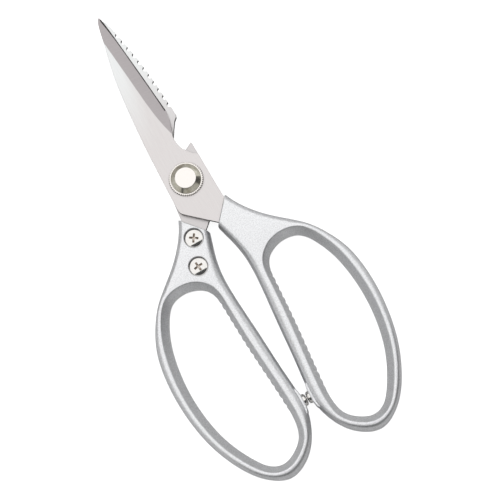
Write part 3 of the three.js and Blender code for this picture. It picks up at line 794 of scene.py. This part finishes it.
def make_stud(name):
    """Domed stop stud on the right handle's boss."""
    r, rise, side = STUD_RADIUS, STUD_HEIGHT, STUD_SIDE
    dome = [(r * math.cos(a) ** STUD_FULLNESS, side + (rise - side) * math.sin(a))
            for a in np.linspace(0, math.pi / 2, 18)]
    dome[-1] = (0, rise)
    root = [(0, -STUD_ROOT), (r - STUD_CHAMFER, -STUD_ROOT), (r, STUD_CHAMFER - STUD_ROOT)]
    piece = turned(name, root + dome, STUD_SEGMENTS)
    lie = Matrix.Translation((BOSS_FACE_X * MM, STOP_Y * MM, MID_HEIGHT * MM))
    piece.data.transform(lie @ Matrix.Rotation(-math.pi / 2, 4, "Y"))
    return piece


def make_bolt():
    """Pivot bolt: plain shank, and a head that slopes up to a flat."""
    base = KNURL_TOP + WASHER_GAP
    profile = [(0, BOLT_END), (BOLT_RADIUS - BOLT_CHAMFER, BOLT_END),
               (BOLT_RADIUS, BOLT_END + BOLT_CHAMFER), (BOLT_RADIUS, base), (HEAD_RADIUS, base),
               (HEAD_RADIUS, base + HEAD_SIDE), (HEAD_FLAT_RADIUS, HEAD_TOP), (0, HEAD_TOP)]
    return turned("pivot_bolt_fine", round_corners(profile, TURNED_ROUNDING, 3), PIVOT_SEGMENTS)


def mark_steep_faces(piece, beyond, least, most):
    """Gives the faces past a radius that tilt between two angles the second material slot."""
    for face in piece.data.polygons:
        away = math.hypot(face.center.x, face.center.y) / MM
        if away > beyond and least < tilt_of(face) < most:
            face.material_index = 1


def make_ring(name, radius, bottom, top, teeth, tooth_depth):
    """Washer with a small chamfer, and with knurl teeth round its rim if there are any."""
    count = STEPS_PER_TOOTH * teeth if teeth else PIVOT_SEGMENTS
    angles = np.linspace(0, 2 * math.pi, count, endpoint=False)
    cut = tooth_depth * np.abs(np.sin(angles * teeth / 2)) if teeth else 0 * angles
    hole, edge = PIVOT_HOLE_RADIUS, RING_CHAMFER
    rings = [(hole, bottom, 0), (radius - edge, bottom, 1), (radius, bottom + edge, 1),
             (radius, top - edge, 1), (radius - edge, top, 1), (hole, top, 0)]
    points = []
    for reach, z, toothed in rings:
        spread = reach - toothed * cut
        points += [(s * math.cos(a), s * math.sin(a), z) for s, a in zip(spread, angles)]
    return mesh_object(name, points, ring_faces(len(rings), count, closed=True), KNURL_SHARP)


def make_nut():
    """Round nut at the underside, with a closed face and two spanner holes."""
    profile = [(0, 0), (NUT_RADIUS - NUT_CHAMFER, 0), (NUT_RADIUS, NUT_CHAMFER), (NUT_RADIUS, NUT_TOP),
               (NUT_HOLE_RADIUS, NUT_TOP), (NUT_HOLE_RADIUS, NUT_FLOOR), (0, NUT_FLOOR)]
    piece = turned("pivot_nut_fine", round_corners(profile, TURNED_ROUNDING, 3), PIVOT_SEGMENTS)
    for x in (-SPANNER_HOLE_X, SPANNER_HOLE_X):
        hole = hole_cutter(SPANNER_HOLE_RADIUS, -OVERCUT, SPANNER_HOLE_TOP, x, 0, SPANNER_SEGMENTS)
        combine(piece, hole, "DIFFERENCE")
    return piece


# ---- materials -----------------------------------------------------------------------------

# Metres from the centre line and from the pivot over which a painted highlight brightens a blade
# face, and how much of the distance from the pivot counts as distance from the centre line.
SPINE_HIGHLIGHT_ACROSS = (0.002, 0.009)
SPINE_HIGHLIGHT_FORWARD = (0.015, 0.058)
SPINE_TAPER = 0.1


class Nodes:
    """A material's node tree, with short calls for the nodes that the metals here use."""

    # Sockets of a Mix node set to RGBA.
    SHARE, FIRST, SECOND, MIXED = 0, 6, 7, 2
    # Noise keeps mostly between these values.
    NOISE_LOW, NOISE_HIGH = 0.3, 0.7

    def __init__(self, name):
        self.material = bpy.data.materials.new(name)
        self.material.use_nodes = True
        self.tree = self.material.node_tree
        self.shader = self.tree.nodes["Principled BSDF"]
        place = self.tree.nodes.new("ShaderNodeTexCoord")
        self.place = place.outputs["Object"]

    def link(self, start, end):
        self.tree.links.new(start, end)

    def stretched(self, scale, turn=0.0):
        mapping = self.tree.nodes.new("ShaderNodeMapping")
        mapping.inputs["Scale"].default_value = scale
        mapping.inputs["Rotation"].default_value = (0, 0, turn)
        self.link(self.place, mapping.inputs["Vector"])
        return mapping.outputs["Vector"]

    def noise(self, vector, scale, detail=3.0, roughness=0.55):
        node = self.tree.nodes.new("ShaderNodeTexNoise")
        node.inputs["Scale"].default_value = scale
        node.inputs["Detail"].default_value = detail
        node.inputs["Roughness"].default_value = roughness
        self.link(vector, node.inputs["Vector"])
        return node.outputs["Fac"]

    def ranged(self, value, low, high):
        """Noise stretched to run from low to high."""
        node = self.tree.nodes.new("ShaderNodeMapRange")
        node.inputs["From Min"].default_value = self.NOISE_LOW
        node.inputs["From Max"].default_value = self.NOISE_HIGH
        node.inputs["To Min"].default_value = low
        node.inputs["To Max"].default_value = high
        self.link(value, node.inputs["Value"])
        return node.outputs["Result"]

    def tinted(self, value, dark, light):
        """Colour that goes from dark to light with the noise."""
        node = self.tree.nodes.new("ShaderNodeMix")
        node.data_type = "RGBA"
        node.inputs[self.FIRST].default_value = (*dark, 1)
        node.inputs[self.SECOND].default_value = (*light, 1)
        self.link(self.ranged(value, 0, 1), node.inputs[self.SHARE])
        return node.outputs[self.MIXED]

    def blend(self, share, first, second):
        """Colour that goes from the first to the second with the share."""
        node = self.tree.nodes.new("ShaderNodeMix")
        node.data_type = "RGBA"
        self.link(share, node.inputs[self.SHARE])
        self.link(first, node.inputs[self.FIRST])
        self.link(second, node.inputs[self.SECOND])
        return node.outputs[self.MIXED]

    def smooth_step(self, value, start, end):
        node = self.tree.nodes.new("ShaderNodeMapRange")
        node.interpolation_type = "SMOOTHSTEP"
        node.inputs["From Min"].default_value = start
        node.inputs["From Max"].default_value = end
        self.link(value, node.inputs["Value"])
        return node.outputs["Result"]

    def maths(self, operation, *values):
        node = self.tree.nodes.new("ShaderNodeMath")
        node.operation = operation
        for value, socket in zip(values, node.inputs):
            self.link(value, socket)
        return node.outputs[0]

    def spine_highlight_share(self):
        """Share of the painted highlight: 0 at the middle of the blades, growing to 1 beside their spines
        near the tips.
        """
        split = self.tree.nodes.new("ShaderNodeSeparateXYZ")
        self.link(self.place, split.inputs[0])
        taper = self.tree.nodes.new("ShaderNodeMath")
        taper.operation = "MULTIPLY"
        taper.inputs[1].default_value = SPINE_TAPER
        self.link(split.outputs["Y"], taper.inputs[0])
        across = self.maths("ADD", self.maths("ABSOLUTE", split.outputs["X"]), taper.outputs[0])
        outward = self.smooth_step(across, *SPINE_HIGHLIGHT_ACROSS)
        forward = self.smooth_step(split.outputs["Y"], *SPINE_HIGHLIGHT_FORWARD)
        return self.maths("MULTIPLY", outward, forward)

    def bump(self, value, height, strength=1.0):
        node = self.tree.nodes.new("ShaderNodeBump")
        node.inputs["Distance"].default_value = height
        node.inputs["Strength"].default_value = strength
        self.link(value, node.inputs["Height"])
        self.link(node.outputs["Normal"], self.shader.inputs["Normal"])

    def colour(self, value):
        self.link(value, self.shader.inputs["Base Color"])

    def roughness(self, value):
        self.link(value, self.shader.inputs["Roughness"])

    def metal(self, metallic):
        self.shader.inputs["Metallic"].default_value = metallic
        return self.material


def cast_silver():
    """Satin cast silver: fine metallic grain over a slightly uneven cast skin."""
    n = Nodes("cast_silver")
    grain = n.noise(n.place, scale=2000, detail=3)
    n.colour(n.tinted(grain, (0.705, 0.708, 0.717), (0.955, 0.96, 0.972)))
    n.roughness(n.ranged(n.noise(n.place, scale=900, detail=3), 0.34, 0.46))
    n.bump(n.noise(n.place, scale=1600, detail=4), 0.00006, 0.6)
    return n.metal(1.0)


def blade_satin(name, dull, bright):
    """Flat blade face: satin, with hair-fine lines along the blade, and a painted highlight that brightens
    it by the spine.
    """
    n = Nodes(name)
    lines = n.noise(n.stretched((1, 0.03, 1)), scale=5000, detail=3)
    plain = n.tinted(lines, dull, bright)
    # Lighter colour blended in by the spine: a painted highlight.
    painted_highlight = n.tinted(lines, (0.75, 0.76, 0.757), (0.83, 0.84, 0.837))
    n.colour(n.blend(n.spine_highlight_share(), plain, painted_highlight))
    n.roughness(n.ranged(lines, 0.3, 0.4))
    n.bump(lines, 0.000006, 0.4)
    return n.metal(1.0)


def blade_bevel():
    """Ground bevel: grinding lines across the edge."""
    n = Nodes("blade_bevel")
    lines = n.noise(n.stretched((0.04, 1, 0.04), turn=math.radians(7)), scale=4200, detail=3)
    n.colour(n.tinted(lines, (0.467, 0.434, 0.438), (0.525, 0.49, 0.495)))
    n.roughness(n.ranged(lines, 0.3, 0.38))
    n.bump(lines, 0.000003, 0.3)
    return n.metal(1.0)


def painted_shade_edge_bevel():
    """Honed edge: painted dark as shade, finely scratched along its length."""
    n = Nodes("painted_shade_edge_bevel")
    lines = n.noise(n.stretched((1, 0.05, 1)), scale=6000, detail=2)
    n.colour(n.tinted(lines, (0.06, 0.056, 0.055), (0.12, 0.111, 0.108)))
    n.roughness(n.ranged(lines, 0.22, 0.32))
    return n.metal(1.0)


def painted_shade_cut_side():
    """Cut side of the blade: rougher than the faces and painted dark as shade, with marks across the
    thickness.
    """
    n = Nodes("painted_shade_cut_side")
    lines = n.noise(n.stretched((1, 1, 0.05)), scale=3000, detail=3)
    n.colour(n.tinted(lines, (0.09, 0.086, 0.084), (0.18, 0.174, 0.17)))
    n.roughness(n.ranged(lines, 0.4, 0.55))
    return n.metal(1.0)


def painted_shade_screw_recess():
    """Inside of the cross recess: rougher than the plating, and painted darker as shade."""
    n = Nodes("painted_shade_screw_recess")
    stain = n.noise(n.place, scale=1800, detail=2)
    n.colour(n.tinted(stain, (0.43, 0.38, 0.335), (0.84, 0.78, 0.71)))
    n.roughness(n.ranged(stain, 0.25, 0.4))
    return n.metal(1.0)


def polished_steel():
    """Pivot steel: bright, with faint turning rings about the pivot axis."""
    n = Nodes("polished_steel")
    rings = n.tree.nodes.new("ShaderNodeTexWave")
    rings.wave_type = "RINGS"
    rings.rings_direction = "Z"
    rings.inputs["Scale"].default_value = 2200
    rings.inputs["Distortion"].default_value = 1.5
    rings.inputs["Detail"].default_value = 2
    n.link(n.place, rings.inputs["Vector"])
    colour = n.tinted(rings.outputs["Fac"], (0.87, 0.83, 0.79), (0.9, 0.86, 0.82))
    n.colour(colour)
    n.roughness(n.ranged(n.noise(n.place, scale=2500, detail=2), 0.12, 0.2))
    n.bump(rings.outputs["Fac"], 0.000002, 0.3)
    return n.metal(1.0)


def turned_facet():
    """Sloping rim of the pivot head: olive-grey, with uneven streaks down the slope."""
    n = Nodes("turned_facet")
    streaks = n.noise(n.stretched((1, 1, 0.1)), scale=420, detail=3)
    n.colour(n.tinted(streaks, (0.52, 0.48, 0.37), (0.86, 0.83, 0.72)))
    n.roughness(n.ranged(n.noise(n.place, scale=2500, detail=2), 0.14, 0.24))
    return n.metal(1.0)


def knurl_shade():
    """Rim of the knurled washer, dark in the cuts between its teeth."""
    n = Nodes("knurl_shade")
    stain = n.noise(n.place, scale=2200, detail=2)
    n.colour(n.tinted(stain, (0.2, 0.18, 0.15), (0.34, 0.31, 0.27)))
    n.roughness(n.ranged(stain, 0.3, 0.45))
    return n.metal(1.0)


def nickel_plate():
    """Bright nickel on screws and studs, with small handling marks."""
    n = Nodes("nickel_plate")
    marks = n.noise(n.place, scale=1200, detail=4)
    n.colour(n.tinted(marks, (0.76, 0.74, 0.71), (0.84, 0.825, 0.8)))
    n.roughness(n.ranged(marks, 0.05, 0.12))
    n.bump(n.noise(n.place, scale=700, detail=2), 0.000008, 0.3)
    return n.metal(1.0)


# ---- build and place -----------------------------------------------------------------------


def put(piece, node, body, slot, *materials):
    """Stands a fine piece in for its CAD node, on that node's body."""
    piece.data.materials.clear()
    for material in materials:
        piece.data.materials.append(material)
    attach(piece, body)
    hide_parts(node)


def build_blades():
    """The front blade, and the rear blade turned over below it."""
    ground = (blade_bevel(), painted_shade_edge_bevel(), painted_shade_cut_side())
    front_face = blade_satin("front_satin", (0.67, 0.635, 0.63), (0.73, 0.7, 0.69))
    # The rear face is painted darker than the front one, as shade below the front blade.
    rear_face_painted_shade = blade_satin("rear_satin_painted_shade", (0.61, 0.58, 0.58), (0.66, 0.635, 0.63))
    front = make_blade("front_blade_fine", front_outline(), FRONT_TIP[2:] + CUTTING_EDGE)
    rear = make_blade("rear_blade_fine", rear_outline(), REAR_TIP[2:] + CUTTING_EDGE)
    turn_over(cut_gullets(rear))
    put(front, "front_blade", "front_half", "blade_steel", front_face, *ground)
    put(rear, "rear_blade", "rear_half", "blade_steel", rear_face_painted_shade, *ground)
    mark_ground_faces(front, 1)
    mark_ground_faces(rear, -1)


def build_handles():
    silver = cast_silver()
    right = make_handle("right_handle_fine")
    left = turn_over(copied(right, "left_handle_fine"))
    put(right, "right_handle", "front_half", "cast_handle", silver)
    put(left, "left_handle", "rear_half", "cast_handle", silver)


def build_screws(nickel):
    """Two screws in each neck. The right handle's have their heads at the underside."""
    recess = painted_shade_screw_recess()
    for place, level in enumerate(("upper", "lower")):
        screw = make_screw(f"right_{level}_screw_fine", place)
        other = turn_over(copied(screw, f"left_{level}_screw_fine"))
        put(screw, f"right_{level}_screw", "front_half", "screw_nickel", nickel, recess)
        put(other, f"left_{level}_screw", "rear_half", "screw_nickel", nickel, recess)
        mark_recess(screw, place, 1)
        mark_recess(other, place, -1)


def build_studs(nickel):
    stud = make_stud("right_stop_stud_fine")
    other = turn_over(copied(stud, "left_stop_stud_fine"))
    put(stud, "right_stop_stud", "front_half", "screw_nickel", nickel)
    put(other, "left_stop_stud", "rear_half", "screw_nickel", nickel)


def build_pivot():
    """Bolt, knurled washer, plain washer and nut, which all turn with the rear half."""
    bright = polished_steel()
    bolt = make_bolt()
    put(bolt, "pivot_bolt", "rear_half", "pivot_steel", bright, turned_facet())
    mark_steep_faces(bolt, beyond=HEAD_FLAT_RADIUS, least=20, most=70)
    knurled = make_ring("knurled_washer_fine", KNURL_RADIUS, KNURL_BOTTOM, KNURL_TOP,
                        teeth=KNURL_TEETH, tooth_depth=KNURL_DEPTH)
    put(knurled, "knurled_washer", "rear_half", "pivot_steel", bright, knurl_shade())
    mark_steep_faces(knurled, beyond=KNURL_FACE_RADIUS, least=30, most=100)
    plain = make_ring("plain_washer_fine", PLAIN_WASHER_RADIUS, WASHER_BOTTOM, WASHER_TOP,
                      teeth=0, tooth_depth=0)
    put(plain, "plain_washer", "rear_half", "pivot_steel", bright)
    put(make_nut(), "pivot_nut", "rear_half", "pivot_steel", bright)


def build():
    """Makes each fine piece and stands it in for its CAD node."""
    nickel = nickel_plate()
    build_blades()
    build_handles()
    build_screws(nickel)
    build_studs(nickel)
    build_pivot()


# ---- floor, light and camera ---------------------------------------------------------------


# Metres. A light is a name, its place, the point it faces, its two sides and its power in watts.
FLOOR_REACH = 4.0
FLOOR_DROP = 0.0002
FLOOR_SHADE = 0.74
FLOOR_GLOW = 0.85
LIGHTS = [
    ("soft_box", (0, 0.87, 1.3), (0, 0.87, 0), (3.0, 2.6), 26),
    ("far_wall", (0, 2.3, 0.6), (0, 0, 0.1), (3.4, 1.2), 3.2),
    ("near_card", (0, -1.9, 0.4), (0, 0, 0.4), (3.8, 0.8), 4.1),
    ("left_wall", (-1.9, 0.3, 0.6), (0, 0.3, 0.6), (3.0, 1.2), 6),
    ("right_wall", (1.9, 1.25, 0.6), (0, 1.25, 0.6), (3.0, 1.2), 8),
]
ROOM_COLOUR = (0.97, 0.98, 1, 1)
ROOM_STRENGTH = 0.085
CAMERA_PLACE = (-0.00026, -0.15971, 0.7)
CAMERA_AIM = (0.0091, -0.0391, 0.005)
CAMERA_ROLL = math.radians(-28.975)
LENS_MM = 121.35
SENSOR_MM = 36


def floor_material():
    """White paper that the camera sees lit through, and that reflections see in its own shade."""
    material = bpy.data.materials.new("floor_white")
    material.use_nodes = True
    tree = material.node_tree
    tree.nodes.remove(tree.nodes["Principled BSDF"])
    matt = tree.nodes.new("ShaderNodeBsdfDiffuse")
    matt.inputs["Color"].default_value = (FLOOR_SHADE, FLOOR_SHADE, FLOOR_SHADE, 1)
    glow = tree.nodes.new("ShaderNodeEmission")
    seen = tree.nodes.new("ShaderNodeLightPath")
    glow.inputs["Color"].default_value = (1, 1, 1, 1)
    strength = tree.nodes.new("ShaderNodeMath")
    strength.operation = "MULTIPLY"
    strength.inputs[1].default_value = FLOOR_GLOW
    both = tree.nodes.new("ShaderNodeAddShader")
    tree.links.new(seen.outputs["Is Camera Ray"], strength.inputs[0])
    tree.links.new(strength.outputs[0], glow.inputs["Strength"])
    tree.links.new(matt.outputs[0], both.inputs[0])
    tree.links.new(glow.outputs[0], both.inputs[1])
    tree.links.new(both.outputs[0], tree.nodes["Material Output"].inputs["Surface"])
    return material


def pale_floor():
    """Plain white floor, a hair below the resting plane."""
    mesh = bpy.data.meshes.new("floor")
    corners = [(-1, -1), (1, -1), (1, 1), (-1, 1)]
    mesh.from_pydata([(x * FLOOR_REACH, y * FLOOR_REACH, 0) for x, y in corners], [], [(0, 1, 2, 3)])
    floor = add_object("floor", mesh)
    mesh.materials.append(floor_material())
    floor.location.z = -FLOOR_DROP


def area_light(name, place, aim, size, power):
    """Rectangular lamp at a place, facing a point."""
    data = bpy.data.lights.new(name, "AREA")
    data.shape = "RECTANGLE"
    data.size, data.size_y = size
    data.energy = power
    lamp = add_object(name, data)
    lamp.location = place
    lamp.rotation_euler = (Vector(aim) - Vector(place)).to_track_quat("-Z", "Y").to_euler()


def studio():
    """A large soft box overhead, dimmer walls on three sides and a low card on the near side."""
    for light in LIGHTS:
        area_light(*light)
    world = bpy.data.worlds.new("room")
    bpy.context.scene.world = world
    world.use_nodes = True
    background = world.node_tree.nodes["Background"]
    background.inputs["Color"].default_value = ROOM_COLOUR
    background.inputs["Strength"].default_value = ROOM_STRENGTH
    bpy.context.scene.view_settings.view_transform = "Standard"


def photo_camera():
    """Long lens above the handles, tilted a little towards the tips and rolled."""
    data = bpy.data.cameras.new("camera")
    data.lens, data.sensor_width = LENS_MM, SENSOR_MM
    data.clip_start, data.clip_end = 0.05, 20
    camera = add_object("camera", data)
    place, aim = Vector(CAMERA_PLACE), Vector(CAMERA_AIM)
    back = (place - aim).normalized()
    right = Vector((0, 1, 0)).cross(back).normalized()
    up = back.cross(right)
    across = math.cos(CAMERA_ROLL) * right + math.sin(CAMERA_ROLL) * up
    over = -math.sin(CAMERA_ROLL) * right + math.cos(CAMERA_ROLL) * up
    turn = Matrix((across, over, back)).transposed()
    camera.matrix_world = Matrix.Translation(place) @ turn.to_4x4()
    bpy.context.scene.camera = camera


build()
pale_floor()
studio()
photo_camera()
